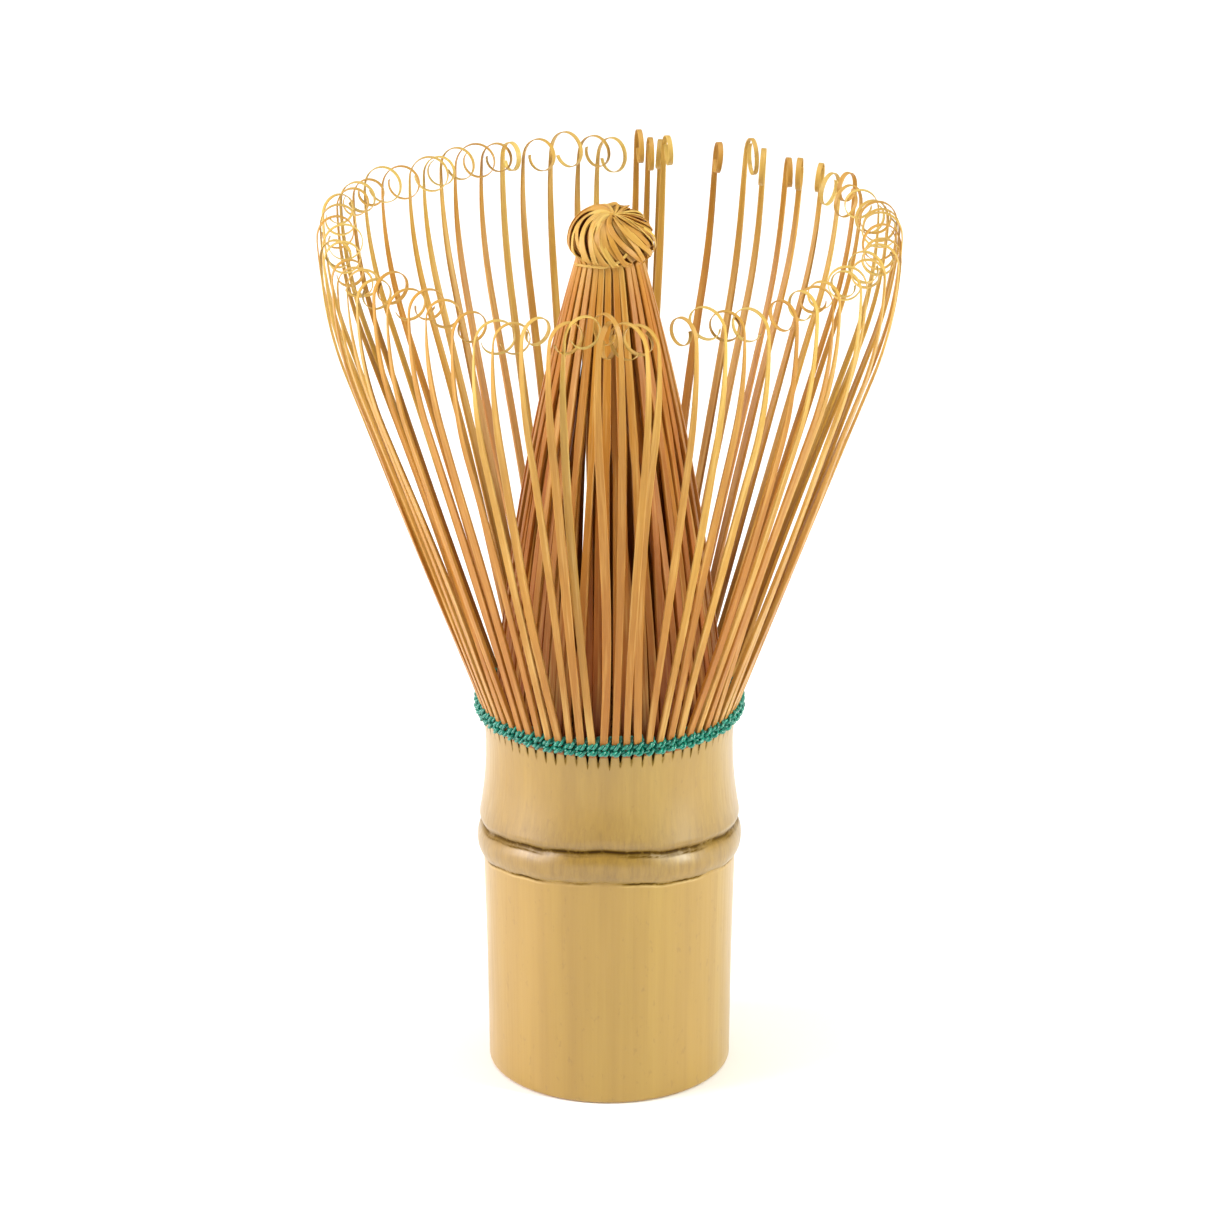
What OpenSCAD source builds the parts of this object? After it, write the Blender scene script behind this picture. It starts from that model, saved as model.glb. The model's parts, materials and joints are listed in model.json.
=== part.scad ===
// Bamboo tea whisk, standing on the foot of its handle with the tines up.
// Lengths are in millimetres. The origin is the centre of the foot, and +Z is the whisk's axis.
//
// A whisk like this is cut from one length of bamboo. Below the binding thread the culm is whole, and
// is the handle. Above it the wall is split into as many outer tines as inner ones, in turn round the
// ring. The outer tines flare out and end in curls, and the inner ones are gathered at a narrow neck,
// where their tips roll over into a knob. The thread is woven round each outer tine.

/* [Handle] */
// Outer diameter of the handle at its foot
foot_d = 26.9; // [22:0.1:34]
// Height of the handle, from the foot to where the tines begin
handle_h = 42.6; // [35:0.1:55]
// Wall thickness of the lower tube
tube_wall = 3.1; // [2:0.1:4]
// How much the tube's radius grows from the foot to the node
tube_flare = 0.5; // [0:0.05:1]
// Height of the node ring's lower edge
ring_z = 25.2; // [20:0.1:30]
// Height of the node ring
ring_h = 3.8; // [2.5:0.1:5]
// How far the node ring stands proud of the tube
ring_proud = 0.7; // [0.2:0.05:1.2]
// Depth of the groove above the node ring
groove_depth = 0.3; // [0.1:0.05:0.6]
// How far the shoulder above the groove stands proud of the tube
shoulder_proud = 0.45; // [0.2:0.05:0.8]
// How far the waist under the thread is drawn in from the top of the tube
waist_in = 0.3; // [0:0.05:0.6]
// How far the handle's top edge, where the outer tines begin, stands out from the top of the tube
root_out = 0.15; // [0:0.05:0.5]
// Radius of the edge round the foot
foot_round = 0.5; // [0.2:0.1:1]
// Length of the longest split that runs down into the handle under the thread
split_depth = 1.3; // [0.5:0.1:2.5]
// Width of a split at the handle's top edge
split_w = 0.34; // [0.15:0.01:0.5]

/* [Node diaphragm] */
// Thickness of the cross wall that closes the culm at the node
diaphragm_t = 2.2; // [1:0.1:3]
// Rise of the cross wall's middle
diaphragm_dome = 0.8; // [0:0.1:1.5]

/* [Outer tines] */
// Number of outer tine groups, each cut from one of the first splits
outer_groups = 18; // [12:1:20]
// Number of outer tines in a group
outer_per_group = 4; // [3:1:4]
// Overall diameter over the upright tops of the outer tines
rim_d = 64.4; // [50:0.1:80]
// Height of the tops of the curls
rim_h = 99; // [84:0.1:120]
// Diameter of a curl at its first turn
curl_d = 3.7; // [2.5:0.1:5]
// Angle that a curl turns through
curl_turn = 420; // [300:10:460]
// Outward lean of an outer tine at its root
root_lean = 14; // [6:1:18]
// How far below the start of the curl the tine would reach the rim if it stayed straight
bend_drop = 6.4; // [4:0.1:9]
// Width of an outer tine at its root
outer_root_w = 0.72; // [0.5:0.01:0.8]
// Width of an outer tine at its tip
outer_tip_w = 0.5; // [0.3:0.01:0.7]
// Thickness of an outer tine at its root
outer_root_t = 0.6; // [0.4:0.01:0.8]
// Thickness of an outer tine halfway up
outer_mid_t = 0.36; // [0.25:0.01:0.5]
// Thickness of an outer tine's curl
curl_t = 0.14; // [0.1:0.01:0.3]
// Gap under an outer tine's root, which lets it spring about the thread
root_gap = 0.18; // [0.12:0.01:0.3]

/* [Inner tines] */
// Number of inner tine groups
inner_groups = 12; // [6:1:12]
// Room between the outer and the inner tines at the root, where the thread passes
root_room = 0.7; // [0.55:0.01:1]
// Width of an inner tine
inner_w = 0.6; // [0.3:0.01:0.65]
// Thickness of an inner tine at its root
inner_root_t = 0.6; // [0.4:0.01:0.8]
// Thickness of an inner tine at its tip
inner_tip_t = 0.24; // [0.15:0.01:0.4]
// Diameter of the gathered neck, over the middle of the tines
neck_d = 7.2; // [5:0.1:9]
// How far the gathered neck is below the tops of the curls
neck_drop = 4.2; // [2:0.1:12]
// How far the rolled tips swell out over the neck's radius
knob_swell = 1.1; // [0.5:0.05:2]
// Height of the knob above the neck
knob_h = 6; // [4:0.1:9]
// Angle that an inner tine bows through on its way to the neck
inner_bow = 10.8; // [4:0.1:14]
// Share of the room between its neighbours that an inner tine fills at the neck
neck_fill = 0.8; // [0.5:0.05:0.9]

/* [Binding thread] */
// Thickness of the thread laid round the outer tines
thread_t = 0.55; // [0.4:0.01:0.7]
// Height of the woven band of thread
band_h = 1.15; // [0.8:0.05:1.5]
// Thickness of the strand behind the outer tines
strand_t = 0.36; // [0.25:0.01:0.45]
// Width of each pass of thread between two outer tines
link_w = 0.26; // [0.15:0.01:0.3]
// Gap between the thread and the tines that spring inside it
thread_gap = 0.13; // [0.08:0.01:0.2]
// Diameter of the knot that ties off the thread
knot_d = 0.84; // [0.5:0.01:0.9]

/* [Hidden] */
$fn = 96;
eps = 0.01;

function two_digits(n) = str(n < 10 ? "0" : "", n);
function outer_name(g) = str("outer_tines_", two_digits(g));
function inner_name(g) = str("inner_tines_", two_digits(g));

bamboo_skin = [0.87, 0.76, 0.50];
bamboo_pith = [0.80, 0.64, 0.40];
tine_tan = [0.84, 0.66, 0.38];
inner_tan = [0.76, 0.55, 0.28];
thread_green = [0.09, 0.49, 0.42];

foot_r = foot_d / 2;
tube_top_r = foot_r + tube_flare;
bore_r = foot_r - tube_wall;
waist_r = tube_top_r - waist_in;
root_r = tube_top_r + root_out;
groove_z = ring_z + ring_h;
shoulder_z = groove_z + 0.9;
waist_z = shoulder_z + 0.64 * (handle_h - shoulder_z);
diaphragm_z = ring_z + (ring_h - diaphragm_t) / 2;
inner_root_r = root_r - outer_root_t - root_room;
// The inner tines stand on the handle's top face, with a narrow ledge inside them
mouth_ledge = 0.2;
mouth_r = inner_root_r - inner_root_t - mouth_ledge;

tine_count = outer_groups * outer_per_group;
pitch = 360 / tine_count;
group_angle = 360 / outer_groups;
inner_per_group = tine_count / inner_groups;

// Where the outer tines hinge, inside the ring of thread
hinge_r = root_r - outer_root_t / 2;
hinge_z = handle_h + root_gap + band_h / 2;

// ---- Lines in the radial plane: x is the distance from the axis, y is the height ----
// A heading is the angle from straight up, positive outward.

// The point a share u along a straight (turn 0, size is its length) or an arc (size is its radius)
function along(p, heading, size, turn, u) =
    turn == 0
        ? p + size * u * [sin(heading), cos(heading)]
        : let (rho = size * sign(turn), b = heading + turn * u)
          p + rho * [cos(heading) - cos(b), sin(b) - sin(heading)];

// Walks along the runs [size, turn, thickness at its end, steps] and lists [point, heading, thickness]
function walk(runs, p, heading, t, i = 0) =
    i == len(runs)
        ? []
        : let (run = runs[i], size = run[0], turn = run[1], n = run[3])
          concat(
              [for (k = [1:n]) [
                  along(p, heading, size, turn, k / n),
                  heading + turn * k / n,
                  t + (run[2] - t) * k / n
              ]],
              walk(runs, along(p, heading, size, turn, 1), heading + turn, run[2], i + 1)
          );

// The outline of a strip whose middle line is a walk
function side_of(m, side) = m[0] + side * m[2] / 2 * [cos(m[1]), -sin(m[1])];
function outline_of(mids) = concat(
    [for (m = mids) side_of(m, 1)],
    [for (i = [len(mids) - 1:-1:0]) side_of(mids[i], -1)]
);

// Stands an outline of the radial plane up at an angle round the axis, w wide
module stand(angle, w, outline) {
    rotate([90, 0, angle])
        translate([0, 0, -w / 2])
            linear_extrude(w)
                polygon(outline);
}

// ---- Handle ----

function arc_points(c, r, from, to, n) =
    [for (k = [0:n]) c + r * [cos(from + (to - from) * k / n), sin(from + (to - from) * k / n)]];

// The culm's skin, from the foot to the top edge
handle_skin = concat(
    arc_points([foot_r - foot_round, foot_round], foot_round, -90, 0, 6),
    [for (k = [1:6]) let (u = k / 6)
        [foot_r + tube_flare * pow(u, 1.5), foot_round + (ring_z - foot_round) * u]],
    [for (k = [1:12]) let (u = k / 13)
        [tube_top_r + ring_proud * pow(sin(180 * u), 0.7), ring_z + ring_h * u]],
    [[tube_top_r + shoulder_proud - groove_depth, groove_z]],
    arc_points([tube_top_r + shoulder_proud - 0.5, shoulder_z], 0.5, -50, 0, 5),
    [for (k = [1:8]) let (u = k / 8)
        [waist_r + (tube_top_r + shoulder_proud - waist_r) * pow(1 - u, 2),
         shoulder_z + (waist_z - shoulder_z) * u]],
    [for (k = [1:6]) let (u = k / 6)
        [waist_r + (root_r - waist_r) * pow(u, 2), waist_z + (handle_h - waist_z) * u]]
);

module handle() {
    color(bamboo_skin)
        difference() {
            rotate_extrude()
                polygon(concat(
                    handle_skin,
                    [[mouth_r, handle_h],
                     [bore_r + 0.4, diaphragm_z + diaphragm_t + 0.4],
                     [bore_r, diaphragm_z + diaphragm_t],
                     [bore_r, foot_round],
                     [bore_r + foot_round, 0]]
                ));
            // Splits down between the outer tines, a little uneven in depth
            for (k = [0:tine_count - 1])
                let (deep = split_depth * (0.75 + 0.25 * sin(k * 137)))
                    rotate([90, 0, k * pitch + 90])
                        translate([0, 0, mouth_r - 0.5])
                            linear_extrude(root_r - mouth_r + 1)
                                polygon([[-split_w / 2, handle_h + eps],
                                         [split_w / 2, handle_h + eps],
                                         [0, handle_h - deep]]);
        }
}

module node_diaphragm() {
    color(bamboo_pith)
        rotate_extrude()
            polygon(concat(
                [for (k = [0:8]) let (r = bore_r * k / 8)
                    [r, diaphragm_z + diaphragm_dome * (1 - pow(k / 8, 2))]],
                [for (k = [8:-1:0]) let (r = bore_r * k / 8)
                    [r, diaphragm_z + diaphragm_t + diaphragm_dome * 0.5 * (1 - pow(k / 8, 2))]]
            ));
}

// ---- Outer tines ----

curl_r = curl_d / 2;
root_bend_radius = 26;
curl_z = rim_h - curl_r;
tip_mid_r = rim_d / 2 - curl_t;

// Straight part: aims at the rim's cylinder a little below the curl. Its slope depends on where the
// root bend ends, and the bend's end on the slope, so the slope is refined a few times.
function bend_end(flare) =
    along([hinge_r, handle_h + root_gap], root_lean, root_bend_radius, flare - root_lean, 1);
function flare_from(flare, n) =
    n == 0
        ? flare
        : let (p = bend_end(flare))
          flare_from(atan2(tip_mid_r - p[0], curl_z - bend_drop - p[1]), n - 1);
flare = flare_from(21, 6);
straight_from = bend_end(flare);
straight_l = norm([tip_mid_r, curl_z - bend_drop] - straight_from) - bend_drop;

// Radius of each half turn of the curl, as a share of the first
curl_shares = [1, 0.78, 0.62];

outer_runs = [
    [root_bend_radius, flare - root_lean, outer_root_t * 0.9, 3],
    [straight_l / 2, 0, outer_mid_t, 1],
    [straight_l / 2, 0, outer_mid_t * 0.8, 1],
    [bend_drop / tan(flare / 2), -flare, curl_t * 1.4, 5],
    [curl_r * curl_shares[0], -180, curl_t, 9],
    [curl_r * curl_shares[1], -180, curl_t, 8],
    [curl_r * curl_shares[2], 360 - curl_turn, curl_t, 3]
];
outer_start = [hinge_r, handle_h + root_gap];
outer_outline = outline_of(concat([[outer_start, root_lean, outer_root_t]],
                                  walk(outer_runs, outer_start, root_lean, outer_root_t)));

module outer_tine(angle) {
    intersection() {
        stand(angle, outer_root_w + 1, outer_outline);
        // Narrows the tine from root to tip
        rotate([90, 0, angle + 90])
            linear_extrude(rim_d)
                polygon([[-outer_root_w / 2, handle_h], [outer_root_w / 2, handle_h],
                         [outer_tip_w / 2, rim_h + 1], [-outer_tip_w / 2, rim_h + 1]]);
    }
}

module outer_tines(g) {
    color(tine_tan)
        for (i = [1:outer_per_group])
            outer_tine((g - 1) * group_angle + (i - 0.5) * pitch);
}

// ---- Inner tines ----

// A short bend at the root, then one long bow to the neck
inner_root_mid = inner_root_r - inner_root_t / 2;
inner_lean = 4;
inner_bend_radius = 12;
bow_from = along([inner_root_mid, handle_h], 0, inner_bend_radius, -inner_lean, 1);
neck = [neck_d / 2, rim_h - neck_drop];
chord_angle = atan2(bow_from[0] - neck[0], neck[1] - bow_from[1]);
bow_radius = norm(neck - bow_from) / 2 / sin(inner_bow / 2);
root_part = concat(
    [[[inner_root_mid, handle_h], 0, inner_root_t]],
    walk([[inner_bend_radius, -inner_lean, inner_root_t * 0.95, 2]],
         [inner_root_mid, handle_h], 0, inner_root_t)
);
bow_part = walk([[bow_radius, -inner_bow, inner_tip_t * 1.2, 7]],
                bow_from, inner_bow / 2 - chord_angle, inner_root_t * 0.95);

// The tips turn out of the neck and roll over to the middle. The arc that turns them out takes them
// a third of the way to the widest point of the knob, and the next one the rest of the way.
neck_heading = -(chord_angle + inner_bow / 2);
knob_out = 42;
turn_out_radius = knob_swell / 3 / (cos(neck_heading) - cos(knob_out));
swell_from = along(neck, neck_heading, turn_out_radius, knob_out - neck_heading, 1);
swell_radius = (neck[0] + knob_swell - swell_from[0]) / (1 - cos(knob_out));
widest = along(swell_from, knob_out, swell_radius, -knob_out, 1);
over_radius = neck[1] + knob_h - widest[1];
knob_part = walk([[turn_out_radius, knob_out - neck_heading, inner_tip_t, 4],
                  [swell_radius, -knob_out, inner_tip_t, 3],
                  [over_radius, -90, inner_tip_t, 6],
                  [over_radius / 3, -50, inner_tip_t, 3]],
                 neck, neck_heading, inner_tip_t * 1.2);
inner_outline = outline_of(concat(root_part, bow_part, knob_part));

module inner_tine(angle) {
    half = pitch * neck_fill / 2;
    intersection() {
        stand(angle, inner_w, inner_outline);
        // Narrows the tine where the gathered tines have less room
        rotate([0, 0, angle])
            linear_extrude(rim_h * 2)
                polygon([[0, 0], rim_d * [cos(half), -sin(half)], rim_d * [cos(half), sin(half)]]);
    }
}

module inner_tines(g) {
    color(inner_tan)
        for (i = [0:inner_per_group - 1])
            inner_tine(((g - 1) * inner_per_group + i) * pitch);
}

// ---- Binding thread ----

band_z = handle_h + root_gap + 0.05;
function band_r(z) = root_r + thread_gap + (z - handle_h) * tan(root_lean);
strand_r = inner_root_r + root_room / 2 + 0.05;
strand_z = hinge_z - strand_t / 2;

module binding_thread() {
    top = band_z + band_h;
    color(thread_green)
        union() {
            rotate_extrude()
                polygon([
                    [band_r(band_z) + 0.05, band_z],
                    [band_r(band_z) + thread_t * 0.8, band_z],
                    [band_r(band_z) + thread_t, band_z + band_h * 0.25],
                    [band_r(top) + thread_t, top - band_h * 0.25],
                    [band_r(top) + thread_t * 0.8, top],
                    [band_r(top) + 0.05, top]
                ]);
            rotate_extrude()
                translate([strand_r - strand_t / 2, strand_z])
                    square([strand_t, strand_t]);
            for (k = [0:tine_count - 1])
                rotate([0, 0, k * pitch])
                    translate([strand_r, -link_w / 2, strand_z])
                        cube([band_r(strand_z) + thread_t / 2 - strand_r, link_w, strand_t]);
        }
}

// Ties the thread off at the back, inside the ring of outer tines
module thread_knot() {
    top = strand_z + strand_t;
    color(thread_green)
        translate([0, strand_r, 0]) {
            translate([0, 0, top])
                cylinder(d = strand_t * 0.8, h = knot_d * 0.8);
            translate([0, 0, top + knot_d * 0.8])
                sphere(d = knot_d);
        }
}

handle();
node_diaphragm();
binding_thread();
thread_knot();
for (g = [1:outer_groups])
    outer_tines(g);
for (g = [1:inner_groups])
    inner_tines(g);
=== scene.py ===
"""Looks of the bamboo tea whisk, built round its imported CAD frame.

Lengths are in metres and angles in radians, unless a name says otherwise. The handle stands on the
floor with the tines up, and its front faces -Y.
"""
import json
import math
import random

import bpy
import numpy as np
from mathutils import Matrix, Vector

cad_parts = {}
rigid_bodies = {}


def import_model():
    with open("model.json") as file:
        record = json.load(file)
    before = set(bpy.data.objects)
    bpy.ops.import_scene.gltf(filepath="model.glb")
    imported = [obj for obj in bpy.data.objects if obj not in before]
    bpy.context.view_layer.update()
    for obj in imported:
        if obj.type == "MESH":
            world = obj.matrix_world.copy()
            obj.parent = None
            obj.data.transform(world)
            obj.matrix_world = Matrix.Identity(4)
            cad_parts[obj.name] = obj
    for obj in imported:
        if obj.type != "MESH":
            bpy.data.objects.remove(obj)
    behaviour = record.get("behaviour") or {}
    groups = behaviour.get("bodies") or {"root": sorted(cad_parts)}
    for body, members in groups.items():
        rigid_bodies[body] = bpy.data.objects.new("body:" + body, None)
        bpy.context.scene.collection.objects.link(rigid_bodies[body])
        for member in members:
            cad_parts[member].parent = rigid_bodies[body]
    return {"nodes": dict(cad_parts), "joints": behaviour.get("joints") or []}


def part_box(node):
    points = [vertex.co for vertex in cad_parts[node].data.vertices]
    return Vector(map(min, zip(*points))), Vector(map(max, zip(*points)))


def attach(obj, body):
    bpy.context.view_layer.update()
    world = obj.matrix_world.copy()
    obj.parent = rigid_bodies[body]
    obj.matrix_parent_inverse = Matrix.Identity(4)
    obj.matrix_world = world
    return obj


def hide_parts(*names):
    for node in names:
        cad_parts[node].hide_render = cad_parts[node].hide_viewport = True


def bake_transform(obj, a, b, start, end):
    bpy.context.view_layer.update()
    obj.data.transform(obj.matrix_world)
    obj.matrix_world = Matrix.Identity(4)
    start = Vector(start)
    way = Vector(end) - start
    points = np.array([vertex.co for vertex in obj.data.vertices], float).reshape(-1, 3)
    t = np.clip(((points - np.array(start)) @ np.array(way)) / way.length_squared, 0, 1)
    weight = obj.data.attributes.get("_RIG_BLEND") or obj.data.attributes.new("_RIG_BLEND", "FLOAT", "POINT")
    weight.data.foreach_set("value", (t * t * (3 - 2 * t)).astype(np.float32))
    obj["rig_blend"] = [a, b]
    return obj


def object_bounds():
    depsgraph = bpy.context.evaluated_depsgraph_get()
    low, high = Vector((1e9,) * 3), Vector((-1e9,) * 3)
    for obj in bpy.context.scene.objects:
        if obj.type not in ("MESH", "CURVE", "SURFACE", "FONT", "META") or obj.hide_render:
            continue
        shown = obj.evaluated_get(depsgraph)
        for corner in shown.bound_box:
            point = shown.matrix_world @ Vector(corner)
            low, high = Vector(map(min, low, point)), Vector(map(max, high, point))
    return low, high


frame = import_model()
CAD_BOX = [list(corner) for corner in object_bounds()]

MM = 0.001
BODY = "handle_body"
HANDLE_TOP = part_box("handle")[1].z
RIM_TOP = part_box("outer_tines_01")[1].z
RIM_R = min(CAD_BOX[1][0], CAD_BOX[1][1])
KNOB_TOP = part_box("inner_tines_01")[1].z
JOINTS = sorted(frame["joints"], key=lambda joint: joint["name"])

OUTER_GROUPS = len(JOINTS)
TINES = 72
OUTER_PER_GROUP = TINES // OUTER_GROUPS
INNER_GROUPS = sum(1 for name in frame["nodes"] if name.startswith("inner_tines_"))
INNER_PER_GROUP = TINES // INNER_GROUPS
PITCH = 2 * math.pi / TINES

HINGE_R = math.hypot(*JOINTS[0]["pos_m"][:2])


# ---- Small helpers ----

def srgb(red, green, blue):
    """A colour given as display values from 0 to 255, as the linear values that shaders use."""
    def linear(value):
        share = value / 255
        return share / 12.92 if share <= 0.04045 else ((share + 0.055) / 1.055) ** 2.4
    return (linear(red), linear(green), linear(blue), 1)


def smooth(low, high, value):
    """0 below low, 1 above high, and a smooth step between them."""
    share = np.clip((value - low) / (high - low), 0, 1)
    return share * share * (3 - 2 * share)


def wrapped(angle):
    """An angle brought into -pi to pi."""
    return (angle + math.pi) % (2 * math.pi) - math.pi


def unit(vectors):
    """The same directions, each of length 1."""
    return vectors / np.linalg.norm(vectors, axis=-1, keepdims=True)


def ridge(away, width):
    """1 where away is 0, falling to nearly 0 at two widths on both sides."""
    return np.exp(-(away / width) ** 2)


def smoothed(values, window):
    """A row of values, each averaged with its neighbours in a window of odd size."""
    kernel = np.hanning(window)
    padded = np.pad(values, window // 2, mode="edge")
    return np.convolve(padded, kernel / kernel.sum(), "valid")


def lengths_along(path):
    """The distance walked along a path at each of its points."""
    return np.concatenate([[0], np.cumsum(np.linalg.norm(np.diff(path, axis=0), axis=1))])


def make_piece(name, points, faces, material, nodes, attributes=(), sharp=35):
    """A smooth-shaded mesh that stands for some CAD nodes.

    attributes are (name, values) of each point, and sharp is the angle in degrees from which an edge
    stays sharp.
    """
    mesh = bpy.data.meshes.new(name)
    mesh.from_pydata(points.tolist(), [], faces)
    for label, values in attributes:
        vector = values.ndim == 2
        layer = mesh.attributes.new(label, "FLOAT_VECTOR" if vector else "FLOAT", "POINT")
        layer.data.foreach_set("vector" if vector else "value", values.astype(np.float32).ravel())
    mesh.shade_smooth()
    mesh.set_sharp_from_angle(angle=math.radians(sharp))
    mesh.materials.append(material)
    mesh.validate()
    piece = bpy.data.objects.new(name, mesh)
    bpy.context.scene.collection.objects.link(piece)
    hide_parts(*nodes)
    return piece


def grid_faces(rows, columns):
    """Quads of a grid that closes both ways, like a torus."""
    faces = []
    for i in range(rows):
        a = i * columns
        b = (i + 1) % rows * columns
        for j in range(columns):
            k = (j + 1) % columns
            faces.append((a + j, a + k, b + k, b + j))
    return faces


class Strips:
    """Collects swept strips or tubes, each a run of rings with a cap at both ends."""

    def __init__(self):
        self.points = []
        self.faces = []
        self.attributes = {}
        self.count = 0

    def add(self, rings, **attributes):
        """rings is an array of rings x points x 3. Each attribute is an array of rings x points (x 3)."""
        n, m = rings.shape[:2]
        base = self.count
        for i in range(n - 1):
            for j in range(m):
                a = base + i * m
                k = (j + 1) % m
                self.faces.append((a + j, a + k, a + m + k, a + m + j))
        self.faces.append(tuple(base + j for j in reversed(range(m))))
        self.faces.append(tuple(base + (n - 1) * m + j for j in range(m)))
        self.points.append(rings.reshape(-1, 3))
        for label, values in attributes.items():
            flat = values.reshape(n * m, -1)
            self.attributes.setdefault(label, []).append(flat if flat.shape[1] > 1 else flat[:, 0])
        self.count += n * m

    def piece(self, name, material, slot, nodes, sharp=35):
        """All strips so far as one piece."""
        attributes = [(label, np.concatenate(parts)) for label, parts in self.attributes.items()]
        return make_piece(name, np.concatenate(self.points), self.faces, material, nodes,
                          attributes, sharp)


# ---- Materials ----

class Shader:
    """A Principled material and short calls that add nodes to it."""

    def __init__(self, name, **sockets):
        self.material = bpy.data.materials.new(name)
        self.material.use_nodes = True
        self.tree = self.material.node_tree
        self.main = self.tree.nodes["Principled BSDF"]
        for label, value in sockets.items():
            self.main.inputs[label.replace("_", " ")].default_value = value

    def node(self, kind, **settings):
        made = self.tree.nodes.new(kind)
        for label, value in settings.items():
            setattr(made, label, value)
        return made

    def link(self, output, socket):
        self.tree.links.new(output, socket)

    def feed(self, value, socket):
        """Sets a socket to a constant, or links another socket to it."""
        if isinstance(value, (int, float, tuple)):
            socket.default_value = value
        else:
            self.link(value, socket)

    def attribute(self, name, output="Fac"):
        """A value that the mesh carries at each point."""
        return self.node("ShaderNodeAttribute", attribute_name=name).outputs[output]

    def place(self):
        """The point's place on the object, in metres."""
        return self.node("ShaderNodeTexCoord").outputs["Object"]

    def scaled(self, vector, scale):
        mapping = self.node("ShaderNodeMapping")
        self.link(vector, mapping.inputs["Vector"])
        mapping.inputs["Scale"].default_value = scale
        return mapping.outputs["Vector"]

    def noise(self, vector, scale, detail=3.0, roughness=0.55):
        """Noise from 0 to 1. scale is how many blotches fit in a metre along each axis."""
        made = self.node("ShaderNodeTexNoise")
        self.link(self.scaled(vector, scale), made.inputs["Vector"])
        made.inputs["Scale"].default_value = 1
        made.inputs["Detail"].default_value = detail
        made.inputs["Roughness"].default_value = roughness
        return made.outputs["Fac"]

    def fit(self, value, low, high, to_low=0.0, to_high=1.0):
        """A value stretched from one range to another, and held within it."""
        made = self.node("ShaderNodeMapRange")
        self.link(value, made.inputs["Value"])
        limits = {"From Min": low, "From Max": high, "To Min": to_low, "To Max": to_high}
        for label, limit in limits.items():
            made.inputs[label].default_value = limit
        return made.outputs["Result"]

    def math(self, operation, a, b=0.0):
        made = self.node("ShaderNodeMath", operation=operation)
        for socket, value in zip(made.inputs, (a, b)):
            self.feed(value, socket)
        return made.outputs[0]

    def mix(self, share, a, b, blend="MIX"):
        """share, a and b are sockets or constants."""
        made = self.node("ShaderNodeMix", data_type="RGBA", blend_type=blend)
        sockets = [made.inputs[i] for i in (0, 6, 7)]  # the node's factor and its two colours
        for socket, value in zip(sockets, (share, a, b)):
            self.feed(value, socket)
        return made.outputs[2]

    def ramp(self, value, stops):
        """A colour by value, through (position, colour) stops."""
        made = self.node("ShaderNodeValToRGB")
        self.link(value, made.inputs["Fac"])
        colours = made.color_ramp.elements
        while len(colours) < len(stops):
            colours.new(0.5)
        for element, (position, colour) in zip(colours, stops):
            element.position = position
            element.color = colour
        return made.outputs["Color"]

    def bump(self, height, strength, distance):
        """Relief on the surface, distance in metres."""
        made = self.node("ShaderNodeBump")
        made.inputs["Strength"].default_value = strength
        made.inputs["Distance"].default_value = distance
        self.link(height, made.inputs["Height"])
        self.link(made.outputs["Normal"], self.main.inputs["Normal"])


def culm_material():
    """Satin bamboo skin: long fibres, speckles, mottling above the node, dark scar lines, and painted shade
    above the node, in the splits and on the top face.
    """
    s = Shader("culm_skin", Roughness=0.42, Coat_Weight=0.7, Coat_Roughness=0.36)
    place = s.place()
    fibres = s.noise(place, (3400, 3400, 24), 4, 0.6)
    bands = s.noise(place, (420, 420, 14), 3)
    patches = s.noise(place, (160, 160, 60), 2)
    colour = s.ramp(s.fit(bands, 0.3, 0.7), [(0, srgb(153, 119, 41)), (0.5, srgb(160, 126, 45)),
                                             (1, srgb(166, 133, 50))])
    colour = s.mix(s.fit(fibres, 0.42, 0.72, 0, 0.15), colour, srgb(136, 101, 35))
    colour = s.mix(s.fit(patches, 0.5, 0.75, 0, 0.25), colour, srgb(168, 133, 60))
    speckles = s.noise(place, (1500, 1500, 700), 2, 0.7)
    colour = s.mix(s.fit(speckles, 0.62, 0.72, 0, 0.3), colour, srgb(124, 89, 35))
    # The olive zone round the node, mottled with short streaks. The same mask also darkens all the skin
    # above the groove a little, which is painted shade.
    streaks = s.noise(place, (1900, 1900, 260), 4, 0.7)
    olive_and_shade = s.math("MULTIPLY", s.attribute("olive_and_shade"), s.fit(streaks, 0.36, 0.66, 0.4, 1.0))
    colour = s.mix(olive_and_shade, colour, srgb(108, 80, 22))
    # Scar lines, painted shade in the splits and on the top face, and a pale line under the ring's foot
    breaks = s.noise(place, (900, 900, 900), 3, 0.6)
    scar_and_shade = s.math("MULTIPLY", s.attribute("scar_and_shade"), s.fit(breaks, 0.36, 0.52, 0.5, 1.0))
    colour = s.mix(scar_and_shade, colour, srgb(46, 26, 6))
    colour = s.mix(s.attribute("edge"), colour, srgb(214, 182, 116))
    # Cut bamboo inside and under the foot: paler, with dark fibre ends
    cut = s.ramp(s.noise(place, (2300, 2300, 2300), 2, 0.5),
                 [(0, srgb(176, 130, 70)), (0.5, srgb(192, 148, 84)), (0.66, srgb(128, 84, 38))])
    colour = s.mix(s.attribute("cut"), colour, cut)
    s.link(colour, s.main.inputs["Base Color"])
    s.link(s.fit(fibres, 0.3, 0.75, 0.28, 0.5), s.main.inputs["Roughness"])
    s.link(s.fit(scar_and_shade, 0, 0.6, 0.7, 0), s.main.inputs["Coat Weight"])
    s.link(s.fit(scar_and_shade, 0, 0.6, 0.5, 0.05), s.main.inputs["Specular IOR Level"])
    s.bump(s.math("ADD", fibres, s.math("MULTIPLY", streaks, s.attribute("olive_and_shade"))), 0.3, 0.00004)
    return s.material


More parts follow.
